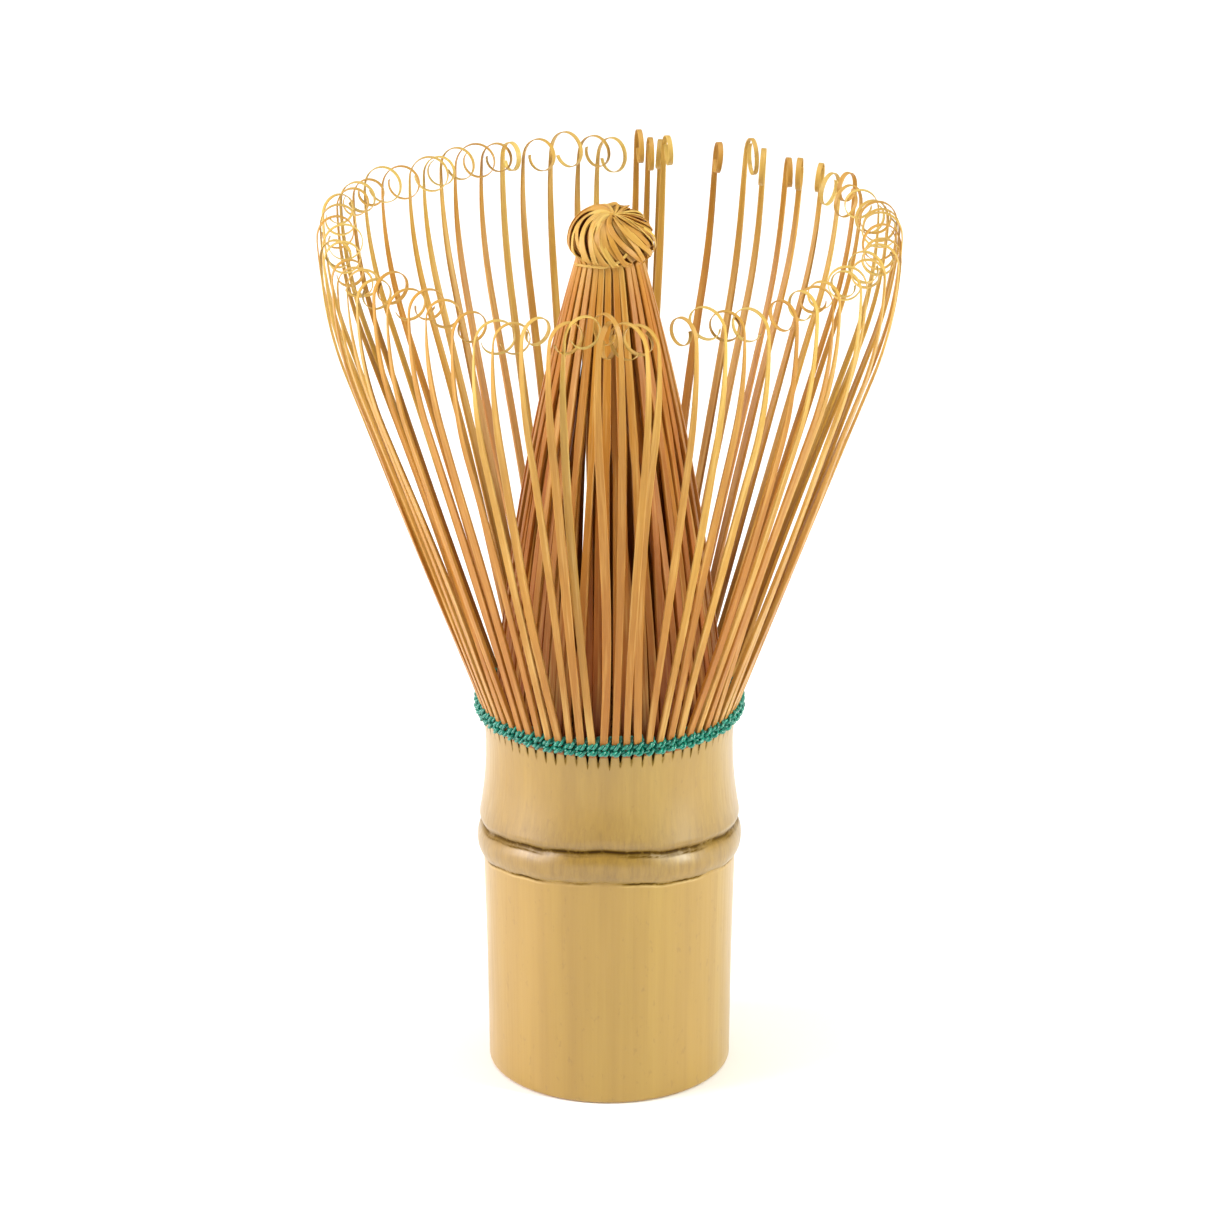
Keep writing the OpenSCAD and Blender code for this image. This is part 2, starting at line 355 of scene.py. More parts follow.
def pith_material():
    """The matte, papery cross wall inside the culm."""
    s = Shader("culm_pith", Roughness=0.85)
    place = s.place()
    blotches = s.noise(place, (700, 700, 700), 4, 0.65)
    colour = s.ramp(s.fit(blotches, 0.3, 0.7), [(0, srgb(176, 130, 76)), (0.6, srgb(212, 176, 118)),
                                                (1, srgb(226, 196, 144))])
    s.link(colour, s.main.inputs["Base Color"])
    s.bump(s.noise(place, (1800, 1800, 1800), 4, 0.7), 0.5, 0.0001)
    return s.material


def tine_material(name, stops, tint, light, dark, subsurface):
    """Shaved bamboo strip. stops are its colours from root to tip, tint is a colour of which each tine
    takes a share of its own, and light and dark are the colours of its fibres."""
    s = Shader(name, Roughness=0.45, Specular_IOR_Level=0.35,
               Subsurface_Weight=subsurface, Subsurface_Scale=0.0006,
               Subsurface_Radius=(1.0, 0.6, 0.25))
    grain = s.attribute("grain", "Vector")
    colour = s.ramp(s.attribute("along"), stops)
    fine = s.noise(grain, (14000, 260, 1), 3, 0.6)
    wide = s.noise(grain, (2600, 90, 1), 3, 0.5)
    slow = s.noise(grain, (200, 60, 1), 2, 0.5)
    colour = s.mix(s.fit(fine, 0.42, 0.72, 0, 0.4), colour, dark)
    colour = s.mix(s.fit(wide, 0.5, 0.75, 0, 0.4), colour, light)
    colour = s.mix(s.fit(slow, 0.3, 0.7, 0, 0.2), colour, dark, "MULTIPLY")
    colour = s.mix(s.attribute("tint"), colour, tint, "MULTIPLY")
    # Painted shade: 'deep' darkens the strip towards this colour at its root and on the inner layers of the
    # knob
    colour = s.mix(s.attribute("deep"), colour, srgb(196, 112, 44), "MULTIPLY")
    s.link(colour, s.main.inputs["Base Color"])
    s.link(s.fit(fine, 0.3, 0.75, 0.32, 0.55), s.main.inputs["Roughness"])
    s.bump(fine, 0.25, 0.00003)
    return s.material


def thread_material():
    """Silky two-ply thread, its fibres lying along each ply."""
    s = Shader("thread", Roughness=0.3, Coat_Weight=0.4, Coat_Roughness=0.2,
               Sheen_Weight=0.25, Sheen_Roughness=0.4, Sheen_Tint=srgb(150, 225, 205))
    grain = s.attribute("grain", "Vector")
    fibres = s.noise(grain, (5200, 520, 1), 3, 0.65)
    colour = s.ramp(s.fit(fibres, 0.3, 0.7), [(0, srgb(0, 70, 60)), (0.5, srgb(4, 122, 102)),
                                              (1, srgb(30, 160, 136))])
    s.link(colour, s.main.inputs["Base Color"])
    s.bump(fibres, 0.5, 0.00004)
    return s.material


CULM = culm_material()
PITH = pith_material()
OUTER = tine_material(
    "outer_tine",
    [(0.0, srgb(188, 143, 71)), (0.14, srgb(182, 132, 54)), (0.36, srgb(190, 143, 56)),
     (0.62, srgb(193, 153, 66)), (0.8, srgb(201, 169, 81)), (1.0, srgb(208, 184, 102))],
    tint=srgb(226, 190, 136), light=srgb(242, 218, 140), dark=srgb(148, 96, 34), subsurface=0.06)
INNER = tine_material(
    "inner_tine",
    [(0.0, srgb(149, 86, 24)), (0.35, srgb(183, 126, 43)), (0.75, srgb(194, 140, 50)),
     (0.84, srgb(214, 179, 89)), (1.0, srgb(216, 186, 98))],
    tint=srgb(222, 184, 134), light=srgb(244, 214, 132), dark=srgb(152, 88, 28), subsurface=0.1)
THREAD = thread_material()


# ---- Handle ----

SKIN_DEPTH = 2.3 * MM  # points of the CAD within this of its widest radius are on the skin
SAME_HEIGHT = 0.02 * MM
PROFILE_STEP = 0.1 * MM


def skin_profile():
    """The culm's outer radius by height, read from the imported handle."""
    points = np.array([v.co for v in frame["nodes"]["handle"].data.vertices])
    radius = np.hypot(points[:, 0], points[:, 1])
    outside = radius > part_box("handle")[1].x - SKIN_DEPTH
    heights = np.unique(np.round(points[outside, 2], 5))
    radii = [radius[outside & (np.abs(points[:, 2] - z) < SAME_HEIGHT)].max() for z in heights]
    fine = np.arange(0, HANDLE_TOP + 0.5 * MM, PROFILE_STEP)
    return fine, smoothed(np.interp(fine, heights, radii), 9)


# Heights read off the CAD's skin: the ring is its widest stretch, and the groove the dip above it
PROFILE_Z, PROFILE_R = skin_profile()
RING_MID = PROFILE_Z[np.argmax(np.where(PROFILE_Z < 0.7 * HANDLE_TOP, PROFILE_R, 0))]
ABOVE_RING = (PROFILE_Z > RING_MID) & (PROFILE_Z < RING_MID + 3 * MM)
GROOVE_Z = PROFILE_Z[ABOVE_RING][np.argmin(PROFILE_R[ABOVE_RING])]
RING_FOOT = 2 * RING_MID - GROOVE_Z
BORE_R = min(math.hypot(v.co.x, v.co.y) for v in frame["nodes"]["handle"].data.vertices)
MOUTH_R = HINGE_R - 1.8 * MM
FOOT_ROUND = 0.5 * MM
SPLIT_DEPTH = 1.3 * MM
WALL_COLUMNS = (0.0, 0.09, 0.18, 0.3, 0.45, 0.65, 0.82, 0.91)  # shares of a tine's pitch
SPLIT_SHARES = {0: 1.0, 1: 0.6, 7: 0.6, 2: 0.14, 6: 0.14}  # how deep each of those columns is split
SPLIT_REACH = (40 * MM, 42.6 * MM)  # heights between which rows sink to follow the splits
SPLIT_DARK = (41 * MM, 42.2 * MM)  # heights between which the splits darken
TILT_RISE = (16 * MM, 22 * MM)  # the node's tilt grows and fades between these heights
TILT_FALL = (33 * MM, 39 * MM)
# Rows of the skin, closest round the node: (from, to, count) with heights in millimetres
SKIN_LEVELS = ((0.5, 21, 20), (21, 24, 10), (24, 31.6, 60), (31.6, 40, 18), (40, 42.6, 16))

# The dark groove over the ring, a thin line just under it, and the frayed line at the ring's foot
GROOVE_WIDTH = 0.25 * MM
GROOVE_DEPTH = 0.14 * MM
TWIN_BELOW = 0.42 * MM
TWIN_WIDTH = 0.1 * MM
LINE_WIDTH = 0.19 * MM
LINE_DEPTH = 0.1 * MM
LINE_FRAY = 0.02 * MM
PALE_BELOW = 0.3 * MM  # a pale edge under the ring's foot
PALE_WIDTH = 0.1 * MM
OLIVE_FADE = 2.2 * MM  # how far above the groove the olive zone fades
RING_FADE = 0.4 * MM

# Inside, under the mouth, a cone narrows to a short chamfer and then the bore
CONE_FOOT = 28.6 * MM
CONE_CHAMFER = 0.4 * MM


def node_lift(angle):
    """How far the node's lines lie above their mean height: highest at the front, as on a bent culm."""
    front = -np.sin(angle)
    wave = 0.16 * np.sin(3 * angle + 0.6) + 0.1 * np.sin(7 * angle) + 0.05 * np.sin(19 * angle + 1)
    return (1.2 * front + 0.55 * front ** 2 + wave) * MM


def handle_columns():
    """The angle of each column of points round the handle, and how deep its top is split."""
    rng = random.Random(11)
    angles = []
    splits = []
    for k in range(TINES):
        deep = SPLIT_DEPTH * rng.uniform(0.55, 1.15)
        for column, share in enumerate(WALL_COLUMNS):
            angles.append((k + share) * PITCH)
            splits.append(deep * SPLIT_SHARES.get(column, 0))
    return np.array(angles), np.array(splits)


# Each row of the handle is (radius, height, scar lines and painted shade, olive zone and painted shade, pale
# edge, cut), all by column

def foot_rows(foot_r, flat):
    """The sawn foot, from the bore outward, and the rounding at its edge."""
    inner = BORE_R + FOOT_ROUND
    outer = foot_r - FOOT_ROUND
    rows = []
    for share in np.linspace(0, 1, 9):
        rows.append((inner + (outer - inner) * share, flat, flat, flat, flat, flat + 1))
    for turn in np.linspace(0, math.pi / 2, 7)[1:]:
        radius = foot_r - FOOT_ROUND * (1 - math.sin(turn))
        height = flat + FOOT_ROUND * (1 - math.cos(turn))
        rows.append((radius, height, flat, flat, flat, flat + 1 - math.sin(turn)))
    return rows


def skin_row(level, angle, split, sink, out_of_round):
    """One row of the skin. source is the height that each point has on the CAD's level node."""
    z = level + sink * smooth(*SPLIT_REACH, level)
    tilt = smooth(*TILT_RISE, z) * (1 - smooth(*TILT_FALL, z))
    source = z - node_lift(angle) * tilt

    fray = LINE_FRAY * (np.sin(11 * angle + 2) + np.sin(29 * angle)
                        + np.sin(67 * angle + 1) + np.sin(113 * angle))
    groove = ridge(source - GROOVE_Z, GROOVE_WIDTH)
    twin = ridge(source - GROOVE_Z + TWIN_BELOW, TWIN_WIDTH)
    low_line = ridge(source - RING_FOOT - fray, LINE_WIDTH)
    radius = np.interp(source, PROFILE_Z, PROFILE_R) + out_of_round
    radius = radius - groove * GROOVE_DEPTH - low_line * LINE_DEPTH

    front = 0.62 + 0.38 * np.clip(-np.sin(angle), 0, 1)
    broken = np.clip(0.62 + 0.5 * np.sin(5 * angle + 1) + 0.4 * np.sin(13 * angle), 0.15, 1)
    # Painted shade: the skin darkens with the scar colour down in the splits at the top
    in_split = np.clip(split / SPLIT_DEPTH * 1.6, 0, 1) * smooth(*SPLIT_DARK, level)
    scar_and_shade = np.clip(groove * front + twin * 0.7 * broken + low_line * broken + 0.66 * in_split, 0, 1)
    # Above the groove the olive zone fades over OLIVE_FADE; the 0.2 under it is painted shade over all the
    # skin above the groove
    above = 0.2 + 0.75 * np.exp(-np.clip(source - GROOVE_Z, 0, 1) / OLIVE_FADE)
    ring = smooth(RING_FOOT, RING_FOOT + RING_FADE, source)
    olive_and_shade = np.clip(np.where(source > GROOVE_Z, above, 0.62 * ring), 0, 1)
    edge = 0.5 * ridge(source - RING_FOOT + PALE_BELOW, PALE_WIDTH) * broken
    return radius, z, scar_and_shade, olive_and_shade, edge, np.zeros_like(angle)


def bore_rows(sink, flat):
    """The inside, from the split mouth down the cone and the bore to the rounding at the foot."""
    corners = [(MOUTH_R, HANDLE_TOP), (BORE_R + CONE_CHAMFER, CONE_FOOT),
               (BORE_R, CONE_FOOT - CONE_CHAMFER), (BORE_R, FOOT_ROUND)]
    rows = []
    for (r0, z0), (r1, z1) in zip(corners, corners[1:]):
        sunk = sink if z0 == HANDLE_TOP else flat
        for share in np.linspace(0, 1, 7)[1:]:
            height = z0 + (z1 - z0) * share + sunk * (1 - share)
            rows.append((flat + r0 + (r1 - r0) * share, height, flat, flat, flat, flat + 1))
    for turn in np.linspace(0, math.pi / 2, 5)[1:-1]:
        radius = flat + BORE_R + FOOT_ROUND * (1 - math.cos(turn))
        height = flat + FOOT_ROUND * (1 - math.sin(turn))
        rows.append((radius, height, flat, flat, flat, flat + 1))
    return rows


def build_handle():
    """The whole part of the culm, as rows of points from the bore's edge at the foot, out, up the skin,
    over the mouth and back down the bore."""
    angle, split = handle_columns()
    flat = np.zeros_like(angle)
    top = HANDLE_TOP - split
    sink = top - HANDLE_TOP
    out_of_round = 0.06 * MM * np.sin(2 * angle + 0.7) + 0.03 * MM * np.sin(3 * angle)
    foot_r = np.interp(0.6 * MM, PROFILE_Z, PROFILE_R) + out_of_round

    rows = foot_rows(foot_r, flat)
    for low, high, count in SKIN_LEVELS:
        for level in np.linspace(low, high, count)[1:] * MM:
            rows.append(skin_row(level, angle, split, sink, out_of_round))
    top_r = rows[-1][0]
    # The top face between the tine roots takes 0.6 of the scar colour, which is painted shade
    for share in np.linspace(0, 1, 9)[1:]:
        rows.append((top_r + (MOUTH_R - top_r) * share, top, flat + 0.6, flat, flat, flat))
    rows += bore_rows(sink, flat)

    radius, z, scar_and_shade, olive_and_shade, edge, cut = (np.array([row[i] + flat for row in rows]) for i in range(6))
    points = np.stack([radius * np.cos(angle), radius * np.sin(angle), z], -1).reshape(-1, 3)
    attributes = [("scar_and_shade", scar_and_shade.ravel()), ("olive_and_shade", olive_and_shade.ravel()),
                  ("edge", edge.ravel()), ("cut", cut.ravel())]
    piece = make_piece("culm_handle", points, grid_faces(len(rows), len(angle)), CULM,
                       ["handle"], attributes)
    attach(piece, BODY)


def build_diaphragm():
    """The cross wall: a domed disc with slight radial wrinkles, within its CAD box."""
    low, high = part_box("node_diaphragm")
    edge_r = high.x - 0.02 * MM
    thickness = 2.2 * MM
    dome_below = 0.8 * MM
    dome_above = 0.4 * MM
    wrinkles = 0.06 * MM
    room = 0.08 * MM  # keeps the wrinkles within the CAD box
    angle = np.linspace(0, 2 * math.pi, 96, endpoint=False)
    shares = np.linspace(0.02, 1, 22)
    rows = []
    for share in shares:
        wrinkle = wrinkles * np.sin(9 * angle + 14 * share) * math.sin(math.pi * share)
        rows.append((edge_r * share, low.z + dome_below * (1 - share ** 2) + room * (share < 1) + wrinkle))
    for share in shares[::-1]:
        wrinkle = wrinkles * np.sin(8 * angle - 11 * share) * math.sin(math.pi * share)
        rows.append((edge_r * share, low.z + thickness + dome_above * (1 - share ** 2) - room + wrinkle))
    points = np.array([np.stack([r * np.cos(angle), r * np.sin(angle), z], -1) for r, z in rows])
    strips = Strips()
    strips.add(points[:, ::-1])
    piece = strips.piece("node_wall", PITH, "culm_pith", ["node_diaphragm"], 60)
    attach(piece, BODY)


# ---- Strips of bamboo ----

MAX_CHAMFER = 0.06 * MM


def strip_rings(centre, across, out, width, thickness, inner_share=1.0):
    """Rings of a flat strip with chamfered edges. inner_share narrows its inner face."""
    chamfer = np.minimum(0.3 * thickness, MAX_CHAMFER)
    half_w = width / 2
    half_t = thickness / 2
    corners = [(half_w - chamfer, half_t), (half_w, half_t - chamfer),
               (half_w * inner_share, chamfer - half_t), (half_w * inner_share - chamfer, -half_t),
               (chamfer - half_w * inner_share, -half_t), (-half_w * inner_share, chamfer - half_t),
               (-half_w, half_t - chamfer), (chamfer - half_w, half_t)]
    rings = np.stack([centre + a[:, None] * across + b[:, None] * out for a, b in corners], 1)
    side = np.stack([a for a, _ in corners], 1)
    return rings, side


def strip_directions(line, out):
    """Directions across a strip and out of its face, square to its middle line and near the one given."""
    ahead = unit(np.gradient(line, axis=0))
    out = unit(out - (out * ahead).sum(-1, keepdims=True) * ahead)
    return np.cross(out, ahead), out


def strip_attributes(side, length, along, seed, tint, deep):
    """Attributes of a strip's points. deep darkens it where little light gets in."""
    grain = np.stack([side, np.repeat(length[:, None], side.shape[1], 1), np.full_like(side, seed)], -1)
    spread = np.repeat(along[:, None], side.shape[1], 1)
    return {"grain": grain, "along": spread, "tint": np.full_like(side, tint),
            "deep": np.repeat(deep[:, None], side.shape[1], 1)}


def turned(a, b, angle):
    """Both of two perpendicular directions, turned by an angle from a towards b."""
    return a * math.cos(angle) + b * math.sin(angle), b * math.cos(angle) - a * math.sin(angle)


def walk(start, heading, steps):
    """Walks a strip's middle line in its own plane, x outward, y across and z up.

    steps are (length, bend outward, twist, sidestep turn). Gives points, across and out directions.
    """
    point = np.array(start, float)
    ahead, out = turned(np.array([0.0, 0, 1]), np.array([1.0, 0, 0]), heading)
    across = np.array([0.0, 1, 0])
    line = [(point, across, out)]
    for length, bend, twist, aside in steps:
        middle, _ = turned(ahead, out, bend / 2)
        middle, _ = turned(middle, across, aside / 2)
        point = point + middle * length
        ahead, out = turned(ahead, out, bend)
        ahead, across = turned(ahead, across, aside)
        out, across = turned(out, across, twist)
        line.append((point, across, out))
    return (np.array(part) for part in zip(*line))


# ---- Outer tines ----

ROOT_LEAN = math.radians(14)
ROOT_BEND_R = 26 * MM
TOP_BEND_R = 44 * MM
ROOT_Z = HANDLE_TOP - 0.3 * MM
CURL_R = 1.95 * MM
ROOT_STEPS = 4
STEM_STEPS = 16
TOP_STEPS = 12
CURL_STEP = math.radians(11)
CURL_LEAD = 8  # this many points before the curl count as curl where room is measured
CURL_ROOM = 0.42 * MM
ENOUGH_ROOM = 0.05 * MM
TINE_TRIES = 40
BUNCH_AT = math.radians(82)  # four tines gather here, this far apart at the rim
BUNCH_PITCH = 0.72 * MM
BLEND_REACH = 26 * MM  # how high above the thread a group still bends


def straight_part(rim_r, curl_z, end_heading):
    """The lean and the length of a tine's straight part, so that the bend above it ends at the rim."""
    flare = math.radians(20.6)
    for _ in range(8):
        r = HINGE_R + ROOT_BEND_R * (math.cos(ROOT_LEAN) - math.cos(flare))
        z = ROOT_Z + ROOT_BEND_R * (math.sin(flare) - math.sin(ROOT_LEAN))
        r_left = rim_r - r - TOP_BEND_R * (math.cos(end_heading) - math.cos(flare))
        z_left = curl_z - z - TOP_BEND_R * (math.sin(flare) - math.sin(end_heading))
        flare = math.atan2(r_left, z_left)
    return flare, math.hypot(r_left, z_left)


def curl_twist(angle):
    """How far curls turn from the radial plane at a place round the rim: towards the middle of the
    front, and one way at the back."""
    front = -math.sin(angle)
    side = math.cos(angle)
    if front > 0:
        return math.radians(46) * front * math.tanh(side / 0.03)
    return math.radians(-38) * front


def curl_steps(curl_r, twist, rng):
    """The walk of a tip's curl, about one turn inward that tightens."""
    turn = math.radians(rng.uniform(330, 415))
    pieces = max(24, round(turn / CURL_STEP))
    tighten = rng.uniform(0.12, 0.32)
    drift = math.radians(rng.uniform(-9, 9))
    steps = []
    for i in range(pieces):
        share = (i + 0.5) / pieces
        radius = curl_r * (1 - tighten * share) * (1 + 0.9 * math.exp(-share * 16))
        steps.append((radius * turn / pieces, -turn / pieces, twist * 0.1 / pieces,
                      drift * math.sin(share * math.pi) / pieces * 4))
    return steps


def outer_tine(angle, gather, bow, rng):
    """The middle line and sizes of one outer tine, turned to its place. gather is how far its tip
    wanders sideways at the rim, and bow how far its middle does."""
    end_heading = math.radians(rng.uniform(0.5, 3.5))
    rim_r = RIM_R - (0.3 + 1.0 * rng.random() ** 1.6) * MM
    curl_r = CURL_R * rng.uniform(0.86, 1.12)
    curl_z = RIM_TOP - curl_r - rng.uniform(-0.1, 1.3) * MM
    flare, straight = straight_part(rim_r, curl_z, end_heading)
    bend_turn = flare - end_heading
    length = ROOT_BEND_R * (flare - ROOT_LEAN) + straight + TOP_BEND_R * bend_turn
    lean = 1.5 * gather / length
    twist = curl_twist(angle) + math.radians(rng.gauss(0, 13))
    wave = math.radians(rng.uniform(-1, 1) * 1.2)
    swing = 4 * bow / length
    steps = []
    for _ in range(ROOT_STEPS):
        bend = (flare - ROOT_LEAN) / ROOT_STEPS
        steps.append((ROOT_BEND_R * bend, bend, 0, (lean + swing) / ROOT_STEPS))
    for i in range(STEM_STEPS):
        share = (i + 0.5) / STEM_STEPS
        steps.append((straight / STEM_STEPS, wave * math.cos(2 * math.pi * share) * 0.4, 0,
                      -lean * 0.02 + wave * math.sin(2 * math.pi * share) * 0.15
                      - 2 * swing / STEM_STEPS))
    for i in range(TOP_STEPS):
        share = (i + 0.5) / TOP_STEPS
        steps.append((TOP_BEND_R * bend_turn / TOP_STEPS, -bend_turn / TOP_STEPS,
                      twist / TOP_STEPS * 2 * share, (swing - lean * 0.7) / TOP_STEPS))
    curl_from = len(steps)
    steps += curl_steps(curl_r, twist, rng)
    points, across, out = walk((HINGE_R, 0, ROOT_Z), ROOT_LEAN, steps)
    lengths = np.concatenate([[0], np.cumsum([step[0] for step in steps])])
    share = lengths / lengths[curl_from]
    root_w = rng.uniform(0.68, 0.84) * MM
    tip_w = rng.uniform(0.52, 0.64) * MM
    width = np.interp(share, [0, 0.5, 0.8, 1.0, 1.15, 1.3],
                      [root_w, root_w * 1.26, root_w * 1.06, tip_w, tip_w * 0.95, tip_w * 0.8])
    thick = np.interp(share, [0, 0.1, 0.5, 0.86, 1.0, 1.2],
                      np.array([0.58, 0.52, 0.36, 0.26, 0.13, 0.09]) * MM)
    cos = math.cos(angle)
    sin = math.sin(angle)
    spin = np.array([[cos, sin, 0], [-sin, cos, 0], [0, 0, 1]])
    along = np.clip(np.where(share < 1, share * 0.8, 0.8 + (share - 1) * 1.1), 0, 1)
    return {"centre": points @ spin, "across": across @ spin, "out": out @ spin, "width": width,
            "thickness": thick, "length": lengths, "along": along, "curl_from": curl_from}


def clearance(a, b):
    """The room between two tines. Their stems lie edge to edge, so both widths come off the distance
    there. Their curls cross, so a fixed distance comes off there."""
    gaps = np.linalg.norm(a["centre"][:, None] - b["centre"][None], axis=-1)
    stem_a = a["curl_from"] - CURL_LEAD
    stem_b = b["curl_from"] - CURL_LEAD
    widths = (a["width"][:stem_a, None] + b["width"][None, :stem_b]) / 2
    stems = (gaps[:stem_a, :stem_b] - widths).min()
    return min(stems, gaps[stem_a:, stem_b:].min() - CURL_ROOM)


def outer_wander():
    """How far each tine's tip and middle are from their even places. Tines gather in twos to fours,
    with a tight bunch at the back."""
    rng = random.Random(5)
    wander = []
    bows = []
    while len(wander) < TINES:
        size = rng.choice((1, 2, 2, 3, 3, 4))
        shift = rng.uniform(-0.3, 0.3) * MM
        for i in range(size):
            away = i - (size - 1) / 2
            wander.append(shift - away * rng.uniform(0.25, 0.6) * MM + rng.uniform(-0.3, 0.3) * MM)
            bows.append(-away * rng.uniform(0.2, 0.5) * MM)
    rim_pitch = RIM_R * PITCH
    for k in range(TINES):
        away = wrapped((k + 0.5) * PITCH - BUNCH_AT) / PITCH
        if abs(away) < 2:
            wander[k] = -away * (rim_pitch - BUNCH_PITCH)
            bows[k] = 0
    return wander, bows


def placed_tines(rng):
    """All outer tines in order. Each is tried in several places, and the first that is clear of the tines
    before it is kept, or else the one with the most room, so a few curls still cross."""
    wander, bows = outer_wander()
    tines = []
    for k in range(TINES):
        neighbours = tines[-3:] + (tines[:1] if k == TINES - 1 else [])
        best = None
        for attempt in range(TINE_TRIES):
            # Later tries stay nearer to the tine's even place
            ease = 1 - 0.7 * attempt / TINE_TRIES
            tine = outer_tine((k + 0.5) * PITCH, wander[k] * ease, bows[k] * ease, rng)
            room = min((clearance(tine, other) for other in neighbours), default=1)
            if best is None or room > best[0]:
                best = (room, tine)
            if room > ENOUGH_ROOM:
                break
        tines.append(best[1])
    return tines


def build_outer_tines():
    """The ring of outer tines, one piece for each joint, which bends with it."""
    rng = random.Random(29)
    tines = placed_tines(rng)
    for g, joint in enumerate(JOINTS):
        strips = Strips()
        for k in range(g * OUTER_PER_GROUP, (g + 1) * OUTER_PER_GROUP):
            tine = tines[k]
            rings, side = strip_rings(tine["centre"], tine["across"], tine["out"], tine["width"],
                                      tine["thickness"], 0.88)
            # Painted shade at the root, down among the thread and the other tines
            deep = 0.7 - smooth(0, 0.06, tine["along"])
            strips.add(rings, **strip_attributes(side, tine["length"], tine["along"], 3.7 * k,
                                                 rng.uniform(0, 0.85), deep))
        number = joint["name"].split("_")[-1]
        piece = strips.piece(f"outer_tine_group_{number}", OUTER, "outer_tine", [f"outer_tines_{number}"])
        x, y, z = joint["pos_m"]
        outward = 1 + BLEND_REACH * math.tan(ROOT_LEAN) / HINGE_R
        end = (x * outward, y * outward, z + BLEND_REACH)
        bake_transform(piece, joint["parent"], joint["child"], start=(x, y, z), end=end)


# ---- Inner tines ----

INNER_ROOT_R = HINGE_R - 1.3 * MM
NECK_Z = 94.7 * MM
NECK_LAYERS = (3.62 * MM, 3.0 * MM, 2.4 * MM)
LAYER_ORDER = (0, 1, 0, 2, 0, 1, 0, 2, 1)  # how neighbours share themselves out over the layers
LAYER_COUNTS = [sum(1 for k in range(TINES) if LAYER_ORDER[k % len(LAYER_ORDER)] == layer)
                for layer in range(len(NECK_LAYERS))]
LAYER_TURNS = (0, 0.11, 0.05)  # how far round each layer starts, in radians
BALL_SCALE = (1.0, 0.93, 0.84)
BALL_R = 4.66 * MM
BALL_TOP = KNOB_TOP - 0.5 * MM
BALL_MID_Z = 97 * MM
BALL_BACK = 0.5 * MM
LEAN_FORWARD = math.radians(12)
LEAN_RIGHT = math.radians(5)
SWIRL = math.radians(72)
# Painted shade on each layer of strips on the knob, most on the inmost layer, which the others cover
LAYER_SHADE = (0.0, 0.22, 0.9)
NECK_BEND_R = 1.2 * MM
TUCK_R = 1.3 * MM
KNOB_STEPS = (5, 8, 14, 5)  # of the bend out of the neck, the swell, the way over and the tuck
KNOB_GAPS = ((-124, 0.17, 0.3), (-38, 0.08, 0.3), (20, 0.08, 0.3), (150, 0.06, 0.4))  # degrees, push, reach
CLUMP = 0.011  # how far tines lean to one another half way up, in radians round the axis


def arc_walk(point, heading, runs):
    """Walks (radius, turn, steps) arcs in the radial plane; gives distance from the axis, height and
    heading of each point. Positive turns lean outward."""
    r, z = point
    line = [(r, z, heading)]
    for radius, turn, count in runs:
        for _ in range(count):
            part = turn / count
            step = abs(radius * part)
            r += step * math.sin(heading + part / 2)
            z += step * math.cos(heading + part / 2)
            heading += part
            line.append((r, z, heading))
    return line


def inner_profile(neck_r, scale, rng):
    """Radial profile of an inner tine: a long bow to the neck, then out, over and into the knob."""
    lean = math.radians(-4)
    r0 = INNER_ROOT_R - 0.15 * MM
    z0 = HANDLE_TOP + 0.85 * MM
    chord = math.atan2(r0 - neck_r, NECK_Z - z0)
    bow = math.radians(rng.uniform(9.6, 11.6))
    bow_r = math.hypot(r0 - neck_r, NECK_Z - z0) / 2 / math.sin(bow / 2)
    root = [(INNER_ROOT_R, HANDLE_TOP - 0.2 * MM, 0.0), (INNER_ROOT_R, HANDLE_TOP + 0.2 * MM, lean / 3)]
    line = root + arc_walk((r0, z0), bow / 2 - chord, [(bow_r, -bow, 22)])
    neck_heading = -(chord + bow / 2)
    out = math.radians(60)
    ball_r = BALL_R * scale * rng.uniform(0.96, 1.015)
    start_r = neck_r + NECK_BEND_R * (math.cos(neck_heading) - math.cos(out))
    swell = (ball_r - start_r) / (1 - math.cos(out))
    widest_z = NECK_Z + NECK_BEND_R * (math.sin(out) - math.sin(neck_heading)) + swell * math.sin(out)
    over = BALL_MID_Z + (BALL_TOP - BALL_MID_Z) * scale - widest_z
    arcs = [(NECK_BEND_R, out - neck_heading), (swell, -out), (over, -math.pi / 2),
            (TUCK_R * scale, -math.radians(62))]
    runs = [(radius, turn, count) for (radius, turn), count in zip(arcs, KNOB_STEPS)]
    line += arc_walk(line[-1][:2], neck_heading, runs)[1:]
    return np.array(line)


def lean_knob(points):
    """Tips the knob forward and to the right about the neck, a little back from the axis."""
    x, y, z = points.T
    height = z - NECK_Z
    grown = smooth(0, 2.4 * MM, height)
    forward = LEAN_FORWARD * grown
    right = LEAN_RIGHT * grown
    y, height = (y * np.cos(forward) - height * np.sin(forward) + BALL_BACK * grown,
                 height * np.cos(forward) + y * np.sin(forward))
    x, height = x * np.cos(right) + height * np.sin(right), height * np.cos(right) - x * np.sin(right)
    return np.stack([x, y, height + NECK_Z], -1)


